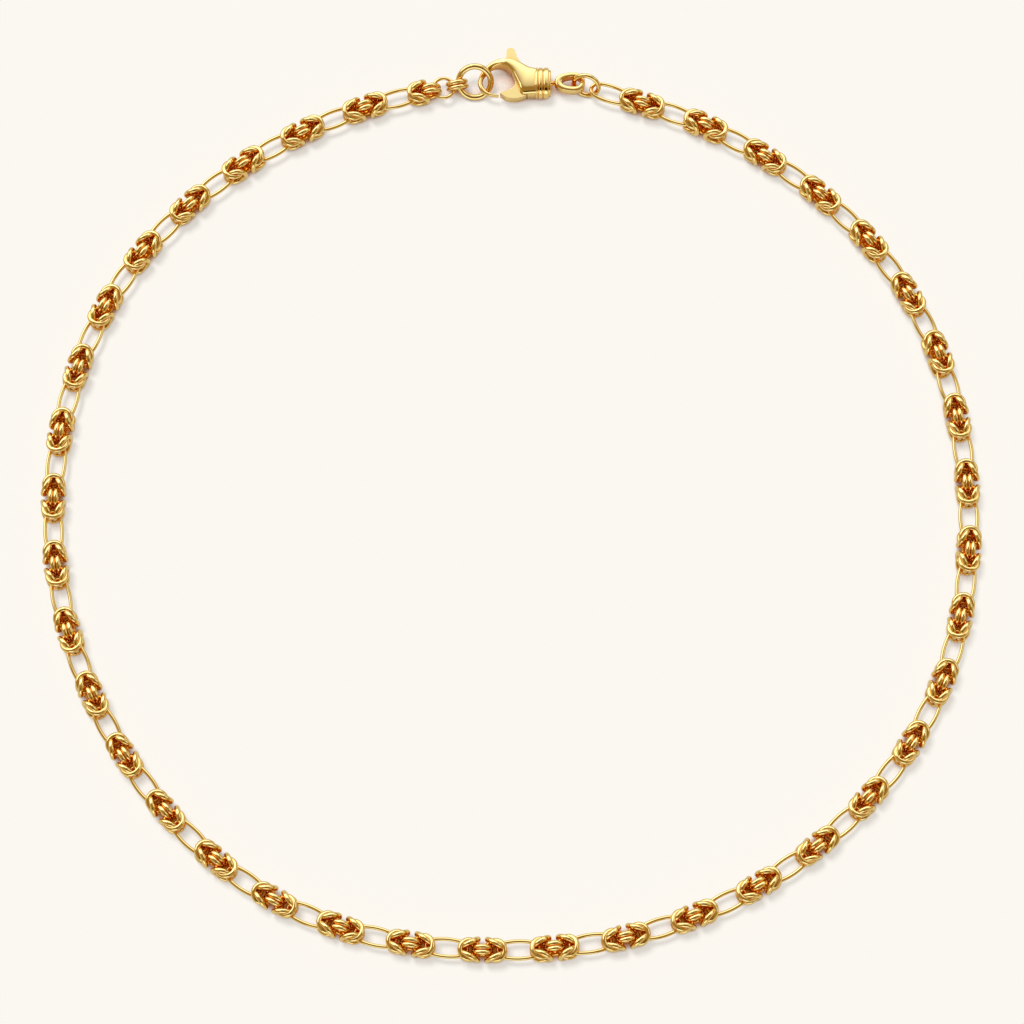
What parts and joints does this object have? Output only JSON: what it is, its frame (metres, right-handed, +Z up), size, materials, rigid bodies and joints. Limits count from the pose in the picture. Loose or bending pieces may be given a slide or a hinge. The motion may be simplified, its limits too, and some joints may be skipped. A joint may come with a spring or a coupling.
{
  "type": "knot chain necklace",
  "caption": "Fastened chain necklace laid out in a loop: round-wire knots alternate with slender oval links, closed by a swivel claw clasp with a sprung lever.",
  "frame": {"origin": "middle of the loop's outer box, on the surface that the necklace lies on", "axes": "+Z up from the surface; the clasp is on the +Y side, its length along X with the claw towards -X"},
  "size_m": [0.1472, 0.1492, 0.0045],
  "materials": {
    "knot_gold": "polished gold plate",
    "link_gold": "polished gold plate",
    "clasp_gold": "polished gold plate"
  },
  "bodies": {
    "root": {"knot_01": "knot_gold", "knot_02": "knot_gold", "knot_03": "knot_gold", "knot_04": "knot_gold", "knot_05": "knot_gold", "knot_06": "knot_gold", "knot_07": "knot_gold", "knot_08": "knot_gold", "knot_09": "knot_gold", "knot_10": "knot_gold", "knot_11": "knot_gold", "knot_12": "knot_gold", "knot_13": "knot_gold", "knot_14": "knot_gold", "knot_15": "knot_gold", "knot_16": "knot_gold", "knot_17": "knot_gold", "knot_18": "knot_gold", "knot_19": "knot_gold", "knot_20": "knot_gold", "knot_21": "knot_gold", "knot_22": "knot_gold", "knot_23": "knot_gold", "knot_24": "knot_gold", "knot_25": "knot_gold", "knot_26": "knot_gold", "knot_27": "knot_gold", "knot_28": "knot_gold", "knot_29": "knot_gold", "knot_30": "knot_gold", "knot_31": "knot_gold", "knot_32": "knot_gold", "knot_33": "knot_gold", "knot_34": "knot_gold", "knot_35": "knot_gold", "knot_36": "knot_gold", "knot_37": "knot_gold", "knot_38": "knot_gold", "half_knot": "knot_gold", "oval_links": "link_gold", "thin_link": "link_gold", "ring_pair": "link_gold", "end_ring": "link_gold", "clasp_body": "clasp_gold", "lever_pin": "clasp_gold", "swivel_loop": "clasp_gold", "jump_ring": "link_gold"},
    "lever": {"clasp_lever": "clasp_gold"}
  },
  "joints": [
    {"name": "lever_hinge", "type": "hinge", "parent": "root", "child": "lever", "pos_m": [0.00155, 0.0691, 0.002], "axis": [0, 0, -1], "range_deg": [0, 25], "stiffness_Nm_per_rad": 0.02, "springref_deg": -5.73}
  ]
}
